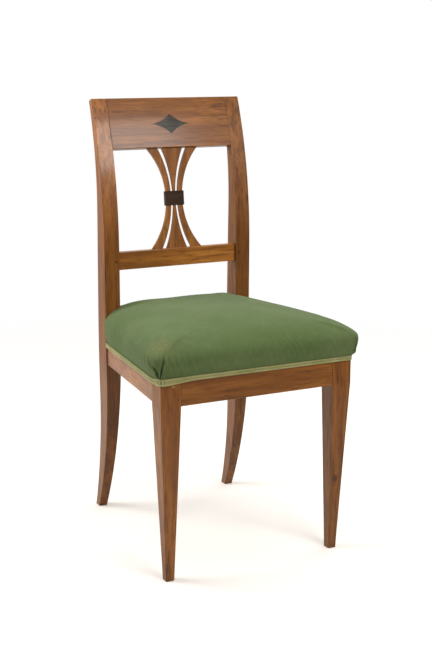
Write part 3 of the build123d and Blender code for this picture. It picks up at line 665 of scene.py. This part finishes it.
# narrowness of the painted shade in the pleats' creases
CREASE_SHADE_NARROW = 1.3
GATHERS = (  # radians per metre around and up, start, share
    (520.0, 280.0, 0.0, 1.0),
    (347.0, -180.0, 1.3, 0.7),
    (811.0, 100.0, 0.4, 0.6),
)
GATHER_DEPTH = 0.00045
GATHER_FOOT = 0.012
GATHER_TOP = 0.074
GATHER_FADE = 0.030
DENT_DEPTH = 0.0008
RIPPLE_DEPTH = 0.0004
DENT_HEIGHT = 0.045
DENT_FADE = 0.025
SHOULDER = 0.72


def outward(ring):
    ahead = np.roll(ring[:, :2], -2, axis=0) - np.roll(ring[:, :2], 2, axis=0)
    normal = np.stack([ahead[:, 1], -ahead[:, 0]], axis=1)
    return normal / np.maximum(np.linalg.norm(normal, axis=1, keepdims=True), 1e-9)


def corner_distance(ring):
    """Length along a ring from each front corner, left then right, counted away from the front."""
    steps = np.linalg.norm(np.diff(np.concatenate([ring, ring[:1]])[:, :2], axis=0), axis=1)
    around = np.concatenate([[0.0], np.cumsum(steps)[:-1]])
    around = np.where(around > steps.sum() / 2, around - steps.sum(), around)
    corner = around[2 * RING_COUNTS[0] + RING_COUNTS[1]]
    return around, (-around - corner, around - corner)


def pleated(height, corners):
    """How far the pleats push each point out, and how much painted shade each point gets in a pleat's
    crease.
    """
    push, crease_shade = np.zeros(len(height)), np.zeros(len(height))
    ridge_share, ridge_off, ridge_width = PLEAT_RIDGE
    for away in corners:
        for spread, depth, top, width in PLEATS:
            rise = np.clip((height - PLEAT_FOOT) / top, 0.0, 1.0)
            fade = (1 - rise) ** 0.5 * smooth_step((height - PLEAT_FOOT) / PLEAT_FADE)
            off = (away - spread * rise**0.6) / (width * (1.0 - 0.2 * rise))
            push -= depth * fade * np.exp(-off**2)
            push += ridge_share * depth * fade * np.exp(-((np.abs(off) - ridge_off) / ridge_width) ** 2)
            crease_shade += fade * np.exp(-(CREASE_SHADE_NARROW * off) ** 2)
    return push, crease_shade


def gathers(height, around):
    """How far the small gathers over the shoulder push each point out."""
    band = smooth_step(height / GATHER_FOOT) * smooth_step((GATHER_TOP - height) / GATHER_FADE)
    wave = sum(share * np.sin(around * turns + up * height + start) for turns, up, start, share in GATHERS)
    return GATHER_DEPTH * band * wave * (0.6 + 0.4 * np.sin(around * 23.0))


def dents(x, along, height):
    """Unevenness of the sat-on crown."""
    broad = DENT_DEPTH * np.sin(x * 31.0 + 0.7) * np.sin(along * 27.0 + 0.4)
    small = RIPPLE_DEPTH * np.sin(x * 67.0 + along * 41.0)
    return (broad + small) * smooth_step((height - DENT_HEIGHT) / DENT_FADE)


def gathered(rows):
    """Rows of the cover with its pleats, gathers and dents, and how much painted shade each point gets in a
    crease.
    """
    rows = rows.copy()
    crease_shades = np.zeros(rows.shape[:2])
    widest = rows[int(np.argmin(rows[:, 0, 1]))]
    around, corners = corner_distance(widest)
    for ring, crease_shade in zip(rows, crease_shades):
        height = ring[:, 2].copy()
        push, crease_shade[:] = pleated(height, corners)
        push = push + gathers(height, around)
        ring[:, :2] += outward(ring) * push[:, None]
        ring[:, 2] += dents(ring[:, 0], ring[:, 1], height)
    return rows, np.clip(crease_shades, 0.0, 1.0)


def weave_map(piece, points, rows, first):
    """Unrolled coordinates of the cover in metres: the plan on top, then outwards from the shoulder."""
    size = rows.shape[1]
    flat = points[:, :2].copy()
    shoulder = int(np.argmax(rows[:, 0, 2] > SHOULDER * CROWN))
    ring = rows[shoulder]
    normal = outward(ring)
    length = np.zeros(size)
    for k in range(shoulder - 1, -1, -1):
        length += np.linalg.norm(rows[k] - rows[k + 1], axis=1)
        at = (first + k) * size
        flat[at:at + size] = ring[:, :2] + normal * length[:, None]
    layer = piece.data.uv_layers.new(name="weave")
    corner = np.zeros(len(piece.data.loops), np.int32)
    piece.data.loops.foreach_get("vertex_index", corner)
    layer.data.foreach_set("uv", flat[corner].astype(np.float32).ravel())


def store(piece, name, values):
    """Keeps a value for each point of the mesh."""
    kept = piece.data.attributes.new(name, "FLOAT", "POINT")
    kept.data.foreach_set("value", np.asarray(values, np.float32).ravel())


under, cover_rows = stuffed_seat()
cover_rows, cover_crease_shades = gathered(cover_rows)
seat_points, seat_faces = closed_form(under + list(cover_rows))
cushion = new_object("seat_cushion", to_world(seat_points), seat_faces)
weave_map(cushion, seat_points, cover_rows, len(under))
# painted shade in the creases, kept with the cushion's points
crease_shade_values = np.zeros(len(seat_points))
crease_shade_start = len(under) * cover_rows.shape[1]
crease_shade_values[crease_shade_start:crease_shade_start + cover_crease_shades.size] = cover_crease_shades.ravel()
store(cushion, "crease_shade", crease_shade_values)
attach(cushion, "root")
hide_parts("seat_cover", "seat_stuffing")

# Green cover cloth
COVER_DEEP = colour(0.070, 0.105, 0.031)
COVER_FADED = colour(0.091, 0.123, 0.044)
COVER_SPOT = colour(0.064, 0.098, 0.030)
COVER_SLUB = colour(0.125, 0.155, 0.068)
COVER_GAP = colour(0.040, 0.064, 0.020)
# painted shade in the creases of the pleats
COVER_CREASE_SHADE = colour(0.014, 0.026, 0.010)
COVER_SHEEN = colour(0.80, 0.90, 0.70)
COVER_STAIN = colour(0.220, 0.135, 0.055)
STAIN_PLACE = (-0.195, -0.202, 0.460)
STAIN_EDGE = 0.066
STAIN_HEART = 0.026
STAIN_WAVER = 0.05
WARP_BANDS = 180.0
WEFT_BANDS = 160.0
SLUB_STRETCH = (1.0, 0.12, 1.0)
THREAD_DEPTH = 0.0003


def cover_cloth():
    n = material("green_cover")
    uv = n.add("UVMap", uv_map="weave").outputs[0]
    place = n.place()
    threads = n.weave(uv, WARP_BANDS, WEFT_BANDS, 0.6, 1.0)
    slub = n.noise(n.scaled(uv, SLUB_STRETCH), 420.0, 3.0)
    fade = n.noise(place, 11.0, 4.0, 0.6)
    spots = n.noise(place, 70.0, 3.0)
    tone = n.mix(n.span(fade, 0.30, 0.70), COVER_DEEP, COVER_FADED)
    tone = n.mix(n.span(spots, 0.35, 0.72, 0.0, 0.35), tone, COVER_SPOT)
    tone = n.mix(n.math("MULTIPLY", n.span(slub, 0.45, 0.70), 0.25), tone, COVER_SLUB)
    tone = n.mix(n.span(threads, 0.55, 0.20, 0.0, 0.30), tone, COVER_GAP)
    # painted shade in the pleats' creases
    tone = n.mix(n.math("MULTIPLY", n.stored("crease_shade"), 0.88), tone, COVER_CREASE_SHADE)
    away = n.math("MULTIPLY_ADD", fade, STAIN_WAVER, n.measure("DISTANCE", place, STAIN_PLACE))
    speckle = n.span(n.noise(place, 190.0, 3.0), 0.38, 0.66)
    stain = n.math("MULTIPLY", n.span(away, STAIN_EDGE, STAIN_HEART, 0.0, 0.42), speckle)
    tone = n.mix(stain, tone, COVER_STAIN)
    height = n.math("ADD", threads, n.math("MULTIPLY", slub, 0.6))
    return n.finish(n.add("BsdfPrincipled", {
        "Base Color": tone, "Roughness": 0.92, "Normal": n.bump(height, 0.35, THREAD_DEPTH),
        "Sheen Weight": 0.08, "Sheen Roughness": 0.5, "Sheen Tint": COVER_SHEEN, "Specular IOR Level": 0.2}))


cushion.data.materials.append(cover_cloth())

# Braid round the cover's lower edge: two twisted cords with a ribbed band between them
RIB_PITCH = 0.0038
RIB_STEPS = 6
RIB_SWELL = 0.00055
RIB_SLANT = 2.4
CORD_RADIUS = 0.0013
CORD_SINK = 0.55  # depth of a cord's middle behind BAND_OUT, in radii
CORD_TWIST = 0.00028
CORD_TURNS = 0.8
CORD_LEAD = 1.6
CORD_ARC = np.linspace(-math.pi * 0.75, math.pi * 0.42, 7)
BAND_OUT = 0.0034
BAND_SINK = 0.0003
BAND_SHARES = (0.18, 0.34, 0.5, 0.66, 0.82)
BUNCHED = 0.0045  # extra height where the braid is bunched at the front left corner
BUNCH_FRONT = 0.045
BUNCH_SIDE = 0.020
BUNCH_TURN = 0.006
PUFFED = 0.0016  # how far it stands out there
BRAID_CORNER = 0.0070


def bunched(path):
    """Share of the bunching along the braid's path."""
    front_run, side_run = path[:, 0] + front_half, path[:, 1]
    along_front = np.maximum(front_run, 0.0) / BUNCH_FRONT
    away = np.where(side_run < BUNCH_TURN, along_front, side_run / BUNCH_SIDE)
    return np.exp(-away**2) * (path[:, 0] < 0)


def braid_section(low, high, phase):
    """Points (distance out, height) of the braid's section along its path, and how proud each is, which sets
    the painted shade in its grooves.
    """
    section, ridge_for_shade = [], []
    cord_out = BAND_OUT - CORD_RADIUS * CORD_SINK

    def cord(middle, side, order):
        for turn in CORD_ARC[::order] * side:
            twist = np.cos(phase * CORD_TURNS + side * CORD_LEAD * turn)
            grown = CORD_RADIUS + CORD_TWIST * twist
            section.append((cord_out + grown * math.cos(turn), middle + grown * math.sin(turn)))
            ridge_for_shade.append(0.55 + 0.45 * twist)

    cord(low + CORD_RADIUS, 1, 1)
    for share in BAND_SHARES:
        swell = np.cos(phase + RIB_SLANT * (share - 0.5))
        band = low + 2 * CORD_RADIUS + share * (high - low - 4 * CORD_RADIUS)
        section.append((BAND_OUT - BAND_SINK + RIB_SWELL * swell, band))
        ridge_for_shade.append(0.32 + 0.32 * swell)
    cord(high - CORD_RADIUS, -1, -1)
    for level in (high - CORD_RADIUS, low + CORD_RADIUS):
        section.append((np.full(len(phase), GIMP_INNER), level))
        ridge_for_shade.append(np.ones(len(phase)))
    return section, ridge_for_shade


def braid(name, line, replaced):
    """Braid along a line of (x, along) points."""
    steps = lengths(line)
    count = int(steps[-1] / RIB_PITCH * RIB_STEPS)
    want = np.linspace(0.0, steps[-1], count)
    path = np.stack([np.interp(want, steps, line[:, i]) for i in (0, 1)], axis=1)
    ahead = np.gradient(path, axis=0)
    normal = np.stack([ahead[:, 1], -ahead[:, 0]], axis=1)
    normal /= np.linalg.norm(normal, axis=1, keepdims=True)
    low = lower_edge(path[:, 0], path[:, 1])
    high = low + GIMP_HEIGHT + BUNCHED * bunched(path)
    section, ridge_for_shade = braid_section(low, high, 2 * math.pi * want / RIB_PITCH)
    points = np.zeros((count, len(section), 3))
    for j, (out, height) in enumerate(section):
        points[:, j, :2] = path + normal * (out + PUFFED * bunched(path))[:, None]
        points[:, j, 2] = height
    made = new_object(name, to_world(points.reshape(-1, 3)), tube_faces(count, len(section)))
    # how proud each point is, kept for the painted shade in the grooves
    store(made, "ridge_for_shade", np.stack(ridge_for_shade, axis=1))
    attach(made, "root")
    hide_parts(replaced)
    return made


def front_line():
    """Line of the braid from the left stile round the front to the right stile."""
    wide = float(frame_side(0.0))
    stop = SEAT_DEPTH / seat_cos - STILE_GAP
    centre = (wide - BRAID_CORNER, BRAID_CORNER)
    right = [(x, 0.0) for x in np.linspace(0.0, wide - BRAID_CORNER, 40)]
    right += [tuple(p) for p in arc(centre, BRAID_CORNER, -math.pi / 2, 0.0, 24)][1:]
    right += [(float(frame_side(along)), along) for along in np.linspace(BRAID_CORNER, stop, 60)][1:]
    right = np.array(right)
    left = right[:0:-1] * np.array((-1.0, 1.0))
    return np.concatenate([left, right])


def rear_line():
    """Line of the braid across the rear, between the stiles."""
    inner = stile_inner - STILE_GAP
    return np.array([(x, frame_rear) for x in np.linspace(inner, -inner, 40)])


def braid_yarn():
    n = material("braid_yarn")
    place = n.place()
    yarn = n.noise(place, 900.0, 3.0, 0.6)
    worn = n.noise(place, 35.0, 3.0)
    tone = n.mix(n.span(worn, 0.32, 0.70), colour(0.300, 0.288, 0.105), colour(0.400, 0.355, 0.155))
    tone = n.mix(n.span(yarn, 0.40, 0.70, 0.0, 0.5), tone, colour(0.165, 0.170, 0.052))
    # painted shade in the grooves between the ribs and the cords
    tone = n.mix(n.span(n.stored("ridge_for_shade"), 0.60, 0.05, 0.0, 0.85), tone, colour(0.068, 0.074, 0.022))
    return n.finish(n.add("BsdfPrincipled", {
        "Base Color": tone, "Roughness": 0.85, "Normal": n.bump(yarn, 0.4, 0.0002), "Sheen Weight": 0.2,
        "Specular IOR Level": 0.25}))


yarn = braid_yarn()
for made in (braid("seat_braid_front", front_line(), "seat_gimp_front"),
             braid("seat_braid_back", rear_line(), "seat_gimp_back")):
    made.data.materials.append(yarn)

# Webbing straps under the stuffing
STRAP_WIDTH = 0.050
STRAP_THICK = 0.0016
STRAP_LIFT = 0.0018
STRAP_INSET = 0.006
STRAP_RAMP = 0.014
STRAP_STEP = 0.003
STRAP_ROOM = 0.0002
STRAP_RIB = 0.00012
STRAP_FRAY = 0.0004
STRAP_LOWEST = 0.00005
STRAP_HIGHEST = STRAP_THICK - 0.00002
WEBBING_PITCH = 0.0022
RAIL_START = 0.0006
LONG_PLACES = (-0.084, 0.0, 0.084)
CROSS_PLACES = (0.104, 0.196, 0.288)


def strap_height(along, crossings, first_up):
    """Height of a strap that passes over every second strap it crosses."""
    height = np.zeros_like(along)
    half = STRAP_WIDTH / 2 + STRAP_ROOM
    for index, middle in enumerate(crossings):
        if (index % 2 == 0) == first_up:
            gone = (np.abs(along - middle) - half) / STRAP_RAMP
            height = np.maximum(height, STRAP_LIFT * (1 - smooth_step(gone)))
    return height


def strap_section():
    """Points round a strap's section as (share of half the width, height): ribbed, with rounded edges."""
    across = np.linspace(-1.0, 1.0, 21)
    edge = np.sqrt(np.clip(1 - np.maximum(np.abs(across) * 26 - 25, 0.0)**2, 0.04, 1.0))
    swell = STRAP_THICK * 0.5 * edge + STRAP_RIB * np.cos(across * math.pi * 9)
    upper = [(a, STRAP_THICK / 2 + s) for a, s in zip(across, swell)]
    lower = [(a, STRAP_THICK / 2 - s) for a, s in zip(across[::-1], swell[::-1])]
    return upper + lower


def strap(name, start, end, place, crossings, first_up, lengthwise, cloth):
    count = int((end - start) / STRAP_STEP)
    along = np.linspace(start, end, count)
    height = strap_height(along, crossings, first_up)
    section = strap_section()
    points = np.zeros((count, len(section), 3))
    for j, (side, level) in enumerate(section):
        fray = STRAP_FRAY * np.sin(along * 900.0 + 2.0 * np.sign(side)) * (abs(side) > 0.9)
        lateral = place + side * STRAP_WIDTH / 2 + fray
        points[:, j, 0] = lateral if lengthwise else along
        points[:, j, 1] = along if lengthwise else lateral
        points[:, j, 2] = height + np.clip(level, STRAP_LOWEST, STRAP_HIGHEST)
    faces = tube_faces(count, len(section), 1 if lengthwise else -1)
    made = new_object(name + "_woven", to_world(points.reshape(-1, 3)), faces)
    made.data.materials.append(cloth)
    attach(made, "root")
    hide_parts(name)


def jute(name, base, dark, pitch):
    """Coarse plain weave with threads of the given pitch."""
    n = material(name)
    place = n.place()
    bands = 1 / (math.pi * pitch)
    threads = n.weave(place, bands, bands, 1.2, 2.0)
    hair = n.noise(place, 500.0, 4.0)
    patch = n.noise(place, 22.0, 3.0)
    tone = n.mix(n.span(threads, 0.35, 0.85), dark, base)
    tone = n.mix(n.span(hair, 0.40, 0.75, 0.0, 0.45), tone, dark)
    tone = n.mix(n.span(patch, 0.30, 0.75, 0.0, 0.35), tone, dark)
    normal = n.bump(n.math("ADD", threads, hair), 0.6, 0.0005)
    return n.finish(n.add("BsdfPrincipled", {
        "Base Color": tone, "Roughness": 0.95, "Normal": normal, "Specular IOR Level": 0.15}))


jute_cloth = jute("jute_webbing", colour(0.44, 0.33, 0.19), colour(0.22, 0.15, 0.075), WEBBING_PITCH)
strap_start, strap_end = RAIL_START + STRAP_INSET, RAIL_BACK - STRAP_INSET
strap_names = []
for index, (word, place) in enumerate(zip(("left", "centre", "right"), LONG_PLACES)):
    strap_names.append(f"webbing_long_{word}")
    strap(strap_names[-1], strap_start, strap_end, place, CROSS_PLACES, index % 2 == 0, True, jute_cloth)
for index, (word, place) in enumerate(zip(("front", "middle", "rear"), CROSS_PLACES)):
    strap_names.append(f"webbing_cross_{word}")
    half = float(frame_side(place + STRAP_WIDTH / 2)) - STRAP_INSET
    strap(strap_names[-1], -half, half, place, LONG_PLACES, index % 2 == 1, False, jute_cloth)

# Hessian over the webbing
HESSIAN_LEVEL = 0.0037
HESSIAN_THICK = 0.0008
HESSIAN_INSET = 0.004
HESSIAN_CORNER = 0.002
HESSIAN_MIDDLE = (0.0, 0.20)
HESSIAN_SHARES = (0.15, 0.35, 0.55, 0.75, 0.9, 1.0)
HESSIAN_RIPPLE = 0.00015
HESSIAN_PITCH = 0.0016


def hessian_sheet():
    """Points, faces and outline of the sheet: rings out along its underside and back along its top."""
    edge = full_ring(half_ring(-HESSIAN_INSET, -HESSIAN_INSET, HESSIAN_CORNER, 0.0))
    middle = np.array(HESSIAN_MIDDLE)
    rings = []
    for level, order in ((HESSIAN_LEVEL, 1), (HESSIAN_LEVEL + HESSIAN_THICK, -1)):
        for share in HESSIAN_SHARES[::order]:
            plan = middle + (edge - middle) * share
            ripple = HESSIAN_RIPPLE * np.sin(plan[:, 0] * 260.0) * np.sin(plan[:, 1] * 240.0)
            rings.append(lifted(plan, level + ripple))
    size, last = len(edge), (len(rings) - 1) * len(edge)
    caps = [tuple(range(size))[::-1], tuple(range(last, last + size))]
    return np.concatenate(rings), ring_walls(len(rings), size) + caps, edge


sheet_points, sheet_faces, sheet_edge = hessian_sheet()
hessian = new_object("hessian_cloth", to_world(sheet_points), sheet_faces)
hessian.data.materials.append(
    jute("hessian_weave", colour(0.40, 0.29, 0.16), colour(0.16, 0.10, 0.05), HESSIAN_PITCH))
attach(hessian, "root")
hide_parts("hessian")

# Stage: floor, white surroundings, soft boxes and the camera
FLOOR_HALF = 9.0
FLOOR_COLOUR = colour(0.735, 0.695, 0.645)
FLOOR_GLOW_COLOUR = colour(1.0, 0.985, 0.96)
FLOOR_GLOW = 0.21
FLOOR_FADE = (0.75, 2.2)  # distances between which the floor turns white
FILL = 0.34
SWEEP = (0.43, 0.90, 0.0)  # where the white sweep stands; the room beyond its sides is dim
SWEEP_SIDES = (0.30, 0.95)


def seen_white(n, sweep):
    """1 for the camera's rays, the sweep's share for rays that polish mirrors, and 0 for all others."""
    path = n.add("LightPath")
    mirrored = n.math("MULTIPLY", path.outputs["Is Glossy Ray"], sweep)
    return n.math("MAXIMUM", path.outputs["Is Camera Ray"], mirrored)


def pale_floor():
    n = material("pale_floor")
    place = n.place()
    toward = n.measure("DOT_PRODUCT", n.vector("NORMALIZE", place), SWEEP)
    seen = seen_white(n, n.span(toward, *SWEEP_SIDES, 0.1, 1.0))
    body = n.add("BsdfDiffuse", {"Color": FLOOR_COLOUR})
    glow = n.add("Emission", {"Color": FLOOR_GLOW_COLOUR, "Strength": n.math("MULTIPLY", seen, FLOOR_GLOW)})
    near = n.add("AddShader", {0: body.outputs[0], 1: glow.outputs[0]})
    far = n.add("Emission", {"Color": WHITE, "Strength": seen})
    share = n.span(n.measure("LENGTH", place), *FLOOR_FADE)
    return n.finish(n.add("MixShader", {0: share, 1: near.outputs[0], 2: far.outputs[0]}))


def studio():
    n = Nodes(bpy.data.worlds.new("studio"), "OutputWorld")
    toward = n.measure("DOT_PRODUCT", n.add("TexCoord").outputs["Generated"], SWEEP)
    seen = seen_white(n, n.span(toward, *SWEEP_SIDES, kind="LINEAR"))
    fill = n.add("Background", {"Color": WHITE, "Strength": FILL})
    white = n.add("Background", {"Color": WHITE, "Strength": 1.0})
    return n.finish(n.add("MixShader", {0: seen, 1: fill.outputs[0], 2: white.outputs[0]}))


def soft_box(name, place, target, size, power):
    lamp = bpy.data.lights.new(name, "AREA")
    lamp.shape = "RECTANGLE"
    lamp.size, lamp.size_y = size
    lamp.energy = power
    made = bpy.data.objects.new(name, lamp)
    made.location = place
    aim = np.subtract(target, place)
    flat = math.hypot(aim[0], aim[1])
    made.rotation_euler = (math.atan2(flat, -aim[2]), 0.0, math.atan2(aim[1], aim[0]) - math.pi / 2)
    scene.collection.objects.link(made)


floor_corners = [(a * FLOOR_HALF, b * FLOOR_HALF, 0) for a, b in ((-1, -1), (1, -1), (1, 1), (-1, 1))]
floor = new_object("floor", floor_corners, [(0, 1, 2, 3)], False)
floor.data.materials.append(pale_floor())
scene.world = studio()
soft_box("front_box", (0.42, -1.75, 1.70), (0.0, 0.1, 0.7), (1.1, 0.70), 34.0)
soft_box("left_box", (-1.8, 0.95, 1.35), (0.0, 0.1, 0.4), (1.3, 1.3), 50.0)
soft_box("right_box", (1.9, 0.6, 1.3), (0.0, 0.1, 0.4), (1.2, 1.2), 12.0)
soft_box("top_box", (0.2, 0.3, 2.8), (0.0, 0.0, 0.4), (2.0, 2.0), 36.0)

camera = bpy.data.cameras.new("camera")
camera.lens = 65.098
camera.sensor_width = 36.0
camera.shift_x = 0.02155
camera.shift_y = -0.01493
view = bpy.data.objects.new("camera", camera)
view.location = (-1.01136, -2.06998, 0.96901)
view.rotation_euler = (math.radians(77.51), 0.0, math.radians(-25.73))
scene.collection.objects.link(view)
scene.camera = view
scene.view_settings.view_transform = "Standard"
